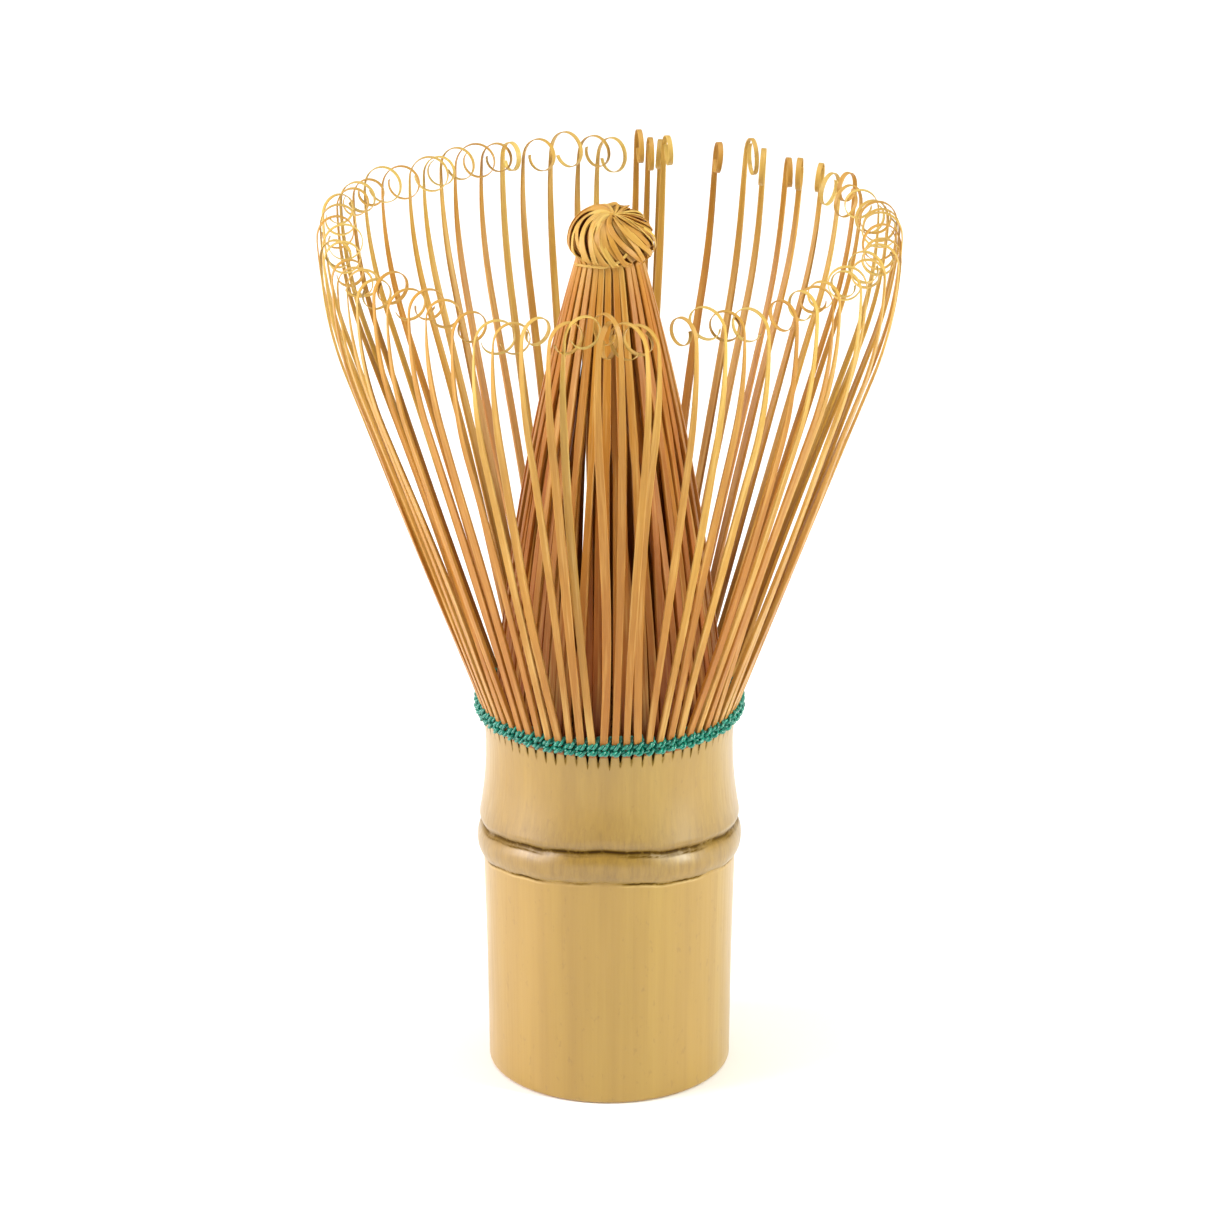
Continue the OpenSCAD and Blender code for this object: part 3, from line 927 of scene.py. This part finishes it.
def inner_tine(k, layer, angle_at_neck, rng):
    """The middle line, directions and sizes of one inner tine, up to its end in the knob."""
    profile = inner_profile(NECK_LAYERS[layer], BALL_SCALE[layer], rng)
    r, z, heading = profile.T
    lengths = np.concatenate([[0], np.cumsum(np.hypot(np.diff(r), np.diff(z)))])
    neck_at = len(r) - 1 - sum(KNOB_STEPS)
    share = lengths / lengths[neck_at]
    root_angle = k * PITCH
    shift = wrapped(angle_at_neck - root_angle)
    clump = rng.uniform(-1, 1) * CLUMP * np.sin(math.pi * np.clip(share, 0, 1))
    ball = np.clip((lengths - lengths[neck_at]) / (lengths[-1] - lengths[neck_at]), 0, 1)
    swirl = SWIRL * rng.uniform(0.65, 1.35) * smooth(-0.1, 1.02, ball)
    parting = knob_part(angle_at_neck) * smooth(0, 0.3, ball)
    angle = root_angle + shift * smooth(0.1, 1.0, share) + clump - swirl + parting
    cos = np.cos(angle)
    sin = np.sin(angle)
    centre = np.stack([r * cos, r * sin, z], -1)
    out = np.stack([np.cos(heading) * cos, np.cos(heading) * sin, -np.sin(heading)], -1)
    centre = lean_knob(centre)
    across, out = strip_directions(centre, out)
    room = 2 * math.pi * np.maximum(r, 0.2 * MM) / LAYER_COUNTS[layer]
    full = rng.uniform(0.54, 0.76) * MM
    width = np.interp(share, [0, 0.4, 0.8, 1.0], np.array([0.9, 1.04, 0.84, 0.62]) * MM)
    width = np.minimum(width, np.where(share <= 1, room * 0.94, 1))
    width = np.minimum(width, np.where(share <= 0.6, PITCH * r * 0.93, 1))
    width = width + (full - width) * smooth(0.08, 0.3, ball)
    width = width * (1 - 0.55 * smooth(0.8, 1.0, ball))
    thick = np.interp(share, [0, 0.5, 1.0, 1.06], np.array([0.58, 0.4, 0.26, 0.12]) * MM)
    # Strips that have no room side by side near the pole lie over each other like shingles
    crowd = np.clip(width / room - 0.95, 0, None)
    shingle = (np.minimum(0.75, crowd * 1.1) + rng.uniform(-0.3, 0.3)) * smooth(0.15, 0.45, ball)
    cos = np.cos(shingle)[:, None]
    sin = np.sin(shingle)[:, None]
    across, out = across * cos + out * sin, out * cos - across * sin
    along = np.where(share < 1, share * 0.8, 0.8 + ball * 0.2)
    # Painted shade at the root inside the ring, and on the inner layers of the knob
    deep = np.maximum(0.9 - smooth(0, 0.1, share), LAYER_SHADE[layer] * smooth(0.0, 0.2, ball))
    return {"centre": centre, "across": across, "out": out, "width": width, "thickness": thick,
            "length": lengths, "along": along, "deep": deep}


def knob_part(angle):
    """Pushes the strips on the knob apart at a few gaps."""
    push = 0
    for degrees, size, reach in KNOB_GAPS:
        away = wrapped(angle - math.radians(degrees))
        push += math.copysign(size, away) * math.exp(-abs(away) / reach)
    return push


# Shavings that stand off the knob, by the inner group that they belong to: a hoop round the neck, a
# loop at the right and a small arch on top. Points are in millimetres.
STRAYS = {
    7: [[(-2.9, -1.4, 94.2), (-3.8, -1.9, 95.0), (-2.7, -3.4, 95.3), (-0.6, -4.3, 95.4), (1.1, -4.4, 96.1),
         (1.9, -4.2, 97.0)]],
    0: [[(3.6, -1.4, 99.0), (4.8, -1.2, 98.0), (5.0, -1.0, 96.6), (4.3, -0.9, 95.4), (3.2, -0.7, 94.3)]],
    3: [[(-0.9, 1.2, 99.9), (-0.4, 1.2, 100.5), (0.5, 1.2, 100.75), (1.3, 1.2, 100.4), (1.7, 1.1, 99.8)]],
}


def add_stray(strips, route, seed):
    """A thin shaving that runs smoothly through the points of a route."""
    knots = np.linspace(0, 1, len(route))
    fine = np.linspace(0, 1, 12 * len(route))
    line = np.stack([smoothed(np.interp(fine, knots, route[:, axis]), 11) for axis in range(3)], -1)
    across, out = strip_directions(line, line - np.array([0, 0, BALL_MID_Z]))
    count = len(line)
    rings, side = strip_rings(line, across, out, np.full(count, 0.34 * MM), np.full(count, 0.08 * MM))
    length = np.linspace(0, 8 * MM, count)
    strips.add(rings, **strip_attributes(side, length, np.full(count, 0.9), seed, 0.1, np.zeros(count)))


def build_inner_tines():
    """The inner tines and their knob, with the stray shavings on their groups."""
    rng = random.Random(17)
    placed = [0, 0, 0]
    tines = []
    for k in range(TINES):
        layer = LAYER_ORDER[k % len(LAYER_ORDER)]
        angle = 2 * math.pi * placed[layer] / LAYER_COUNTS[layer] + LAYER_TURNS[layer]
        placed[layer] += 1
        tines.append(inner_tine(k, layer, angle + rng.uniform(-0.02, 0.02), rng))
    for g in range(INNER_GROUPS):
        strips = Strips()
        for k in range(g * INNER_PER_GROUP, (g + 1) * INNER_PER_GROUP):
            tine = tines[k]
            rings, side = strip_rings(tine["centre"], tine["across"], tine["out"], tine["width"],
                                      tine["thickness"])
            strips.add(rings, **strip_attributes(side, tine["length"], tine["along"], 5.3 * k + 400,
                                                 rng.uniform(0, 0.9), tine["deep"]))
        for route in STRAYS.get(g, ()):
            add_stray(strips, np.array(route) * MM, 900 + g)
        piece = strips.piece(f"inner_tine_group_{g + 1:02d}", INNER, "inner_tine",
                             [f"inner_tines_{g + 1:02d}"])
        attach(piece, BODY)


# ---- Thread ----

PLY_R = 0.19 * MM
PLY_SIDES = 8
PLY_OFFSET = 0.92  # plies press into each other, so they lie this many radii off the middle
LAY = 1.25 * MM  # a strand's length for one turn of its plies
FRONT_R = HINGE_R + 0.83 * MM
BACK_R = HINGE_R - 0.55 * MM
BACK_PLY_R = 0.1 * MM
BACK_POINTS = 720
KNOT_PLY_R = 0.07 * MM
KNOT_LAY = 0.6 * MM
KNOT_SIZE = 0.16 * 0.62 * MM
SIDE_GUIDE = np.array([0.13, 0.31, 0.94])  # no path of thread runs along this direction
BAND_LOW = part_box("binding_thread")[0].z
BAND_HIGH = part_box("binding_thread")[1].z
BAND_MID = (BAND_LOW + BAND_HIGH) / 2


def square_to(path):
    """Two directions square to a path and to each other, at each of its points."""
    ahead = unit(np.gradient(path, axis=0))
    side = unit(np.cross(ahead, SIDE_GUIDE))
    return side, np.cross(side, ahead)


def add_tube(strips, path, radius, seed):
    """A round tube along a path, its ends capped."""
    side, up = square_to(path)
    turn = np.linspace(0, 2 * math.pi, PLY_SIDES, endpoint=False)
    ring = path[:, None] + radius * (np.cos(turn)[None, :, None] * side[:, None]
                                     + np.sin(turn)[None, :, None] * up[:, None])
    length = lengths_along(path)
    around = np.repeat(radius * turn[None], len(path), 0)
    grain = np.stack([around, np.repeat(length[:, None], PLY_SIDES, 1), np.full_like(around, seed)], -1)
    strips.add(ring[:, ::-1], grain=grain[:, ::-1])


def add_strand(strips, path, seed, ply_r=PLY_R, lay=LAY):
    """Two plies twisted round each other along a path."""
    side, up = square_to(path)
    length = lengths_along(path)
    for ply in range(2):
        turn = 2 * math.pi * length / lay + ply * math.pi + seed
        offset = np.cos(turn)[:, None] * side + np.sin(turn)[:, None] * up
        add_tube(strips, path + offset * ply_r * PLY_OFFSET, ply_r, seed + ply * 3.1)


def pass_path(row, middle, wide, drop):
    """One pass of thread over the front of a tine, in the upper row, 0, or the lower row, 1."""
    swing = np.linspace(0, 1, 17) * 2 - 1
    angle = middle + swing * wide * PITCH
    over = np.clip(1 - np.abs(swing) ** 3.2, 0, 1)
    radius = BACK_R + (FRONT_R + (0.02 + 0.05 * row) * MM - BACK_R) * over
    if row == 0:
        rise = 0.5 - 0.26 * np.cos(swing * 1.5) + 0.34 * swing
    else:
        rise = -0.06 - 0.46 * np.cos(swing * 1.35) + 0.14 * swing
    return np.stack([radius * np.cos(angle), radius * np.sin(angle), BAND_MID + rise * MM + drop], -1)


def build_thread():
    """Two rows of passes over the outer tines, and a thinner strand round the inside of them."""
    rng = random.Random(41)
    strips = Strips()
    for k in range(TINES):
        drop = rng.uniform(-0.1, 0.1) * MM
        wide = rng.uniform(0.5, 0.56)
        for row in range(2):
            add_strand(strips, pass_path(row, (k + 0.5) * PITCH, wide, drop), rng.uniform(0, 6))
    turn = np.linspace(0, 2 * math.pi * (1 - 1 / BACK_POINTS), BACK_POINTS)
    path = np.stack([BACK_R * np.cos(turn), BACK_R * np.sin(turn), BAND_MID + 0 * turn], -1)
    add_strand(strips, path, 1.0, BACK_PLY_R)
    piece = strips.piece("tying_thread", THREAD, "thread", ["binding_thread"], 60)
    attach(piece, BODY)


def build_knot():
    """An overhand knot at the back, inside the ring of outer tines, on a short stem."""
    low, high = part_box("thread_knot")
    centre = np.array([(low.x + high.x) / 2, (low.y + high.y) / 2, high.z - 0.4 * MM])
    t = np.linspace(0.35, 2 * math.pi - 0.35, 60)
    knot = np.stack([(np.sin(t) + 2 * np.sin(2 * t)) * 0.9, -np.sin(3 * t),
                     (np.cos(t) - 2 * np.cos(2 * t)) * 0.75], -1) * KNOT_SIZE
    strips = Strips()
    add_strand(strips, centre + knot, 0.5, KNOT_PLY_R, KNOT_LAY)
    stem = np.linspace(0, 1, 12)[:, None]
    start = np.array([centre[0], centre[1], low.z + 0.1 * MM])
    add_strand(strips, start + (centre - start) * stem, 2.0, KNOT_PLY_R, KNOT_LAY)
    piece = strips.piece("thread_tie", THREAD, "thread", ["thread_knot"], 60)
    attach(piece, BODY)


# ---- Studio ----

LIGHT_TARGET = (0, 0, 0.06)
WORLD_STRENGTH = 0.26
PAPER_WHITE = 0.96
FLOOR_HALF = 4
CAMERA_LENS = 218.8  # in millimetres, on a sensor 36 mm wide
CAMERA_PLACE = (-0.00027, -0.75, 0.3643)
CAMERA_DOWN = math.radians(22.46)


def aim(thing, target):
    """Turns a lamp to face a point."""
    direction = np.array(target) - np.array(thing.location)
    thing.rotation_euler = (math.atan2(math.hypot(direction[0], direction[1]), -direction[2]), 0,
                            math.atan2(-direction[0], direction[1]))


def add_softbox(name, place, size, power, colour):
    """A rectangular lamp that faces the whisk."""
    data = bpy.data.lights.new(name, "AREA")
    data.shape = "RECTANGLE"
    data.size, data.size_y = size
    data.energy = power
    data.color = colour
    lamp = bpy.data.objects.new(name, data)
    lamp.location = place
    bpy.context.scene.collection.objects.link(lamp)
    aim(lamp, LIGHT_TARGET)


def build_studio():
    """Softboxes at the left, the right and above, white paper under the whisk, and the camera."""
    scene = bpy.context.scene
    scene.view_settings.view_transform = "Standard"
    world = bpy.data.worlds.new("studio")
    world.use_nodes = True
    world.node_tree.nodes["Background"].inputs["Color"].default_value = (1, 1, 1, 1)
    world.node_tree.nodes["Background"].inputs["Strength"].default_value = WORLD_STRENGTH
    scene.world = world
    add_softbox("left_softbox", (-0.75, -0.16, 0.28), (0.5, 0.8), 11.0, (1.0, 0.94, 0.92))
    add_softbox("right_softbox", (0.72, -0.28, 0.3), (0.13, 0.8), 8.6, (0.99, 1.0, 0.88))
    add_softbox("top_softbox", (0.0, 0.1, 1.1), (1.4, 1.4), 11.0, (1.0, 1.0, 1.0))

    floor_mesh = bpy.data.meshes.new("floor")
    corners = [(x * FLOOR_HALF, y * FLOOR_HALF, 0) for x, y in ((-1, -1), (1, -1), (1, 1), (-1, 1))]
    floor_mesh.from_pydata(corners, [], [(0, 1, 2, 3)])
    floor = bpy.data.objects.new("floor", floor_mesh)
    paper = Shader("paper", Roughness=0.9)
    paper.main.inputs["Base Color"].default_value = (PAPER_WHITE, PAPER_WHITE, PAPER_WHITE, 1)
    paper.main.inputs["Specular IOR Level"].default_value = 0.1
    floor_mesh.materials.append(paper.material)
    scene.collection.objects.link(floor)

    camera = bpy.data.cameras.new("camera")
    camera.sensor_width = 36
    camera.lens = CAMERA_LENS
    holder = bpy.data.objects.new("camera", camera)
    holder.location = CAMERA_PLACE
    holder.rotation_euler = (math.pi / 2 - CAMERA_DOWN, 0, 0)
    scene.collection.objects.link(holder)
    scene.camera = holder


build_handle()
build_diaphragm()
build_outer_tines()
build_inner_tines()
build_thread()
build_knot()
build_studio()
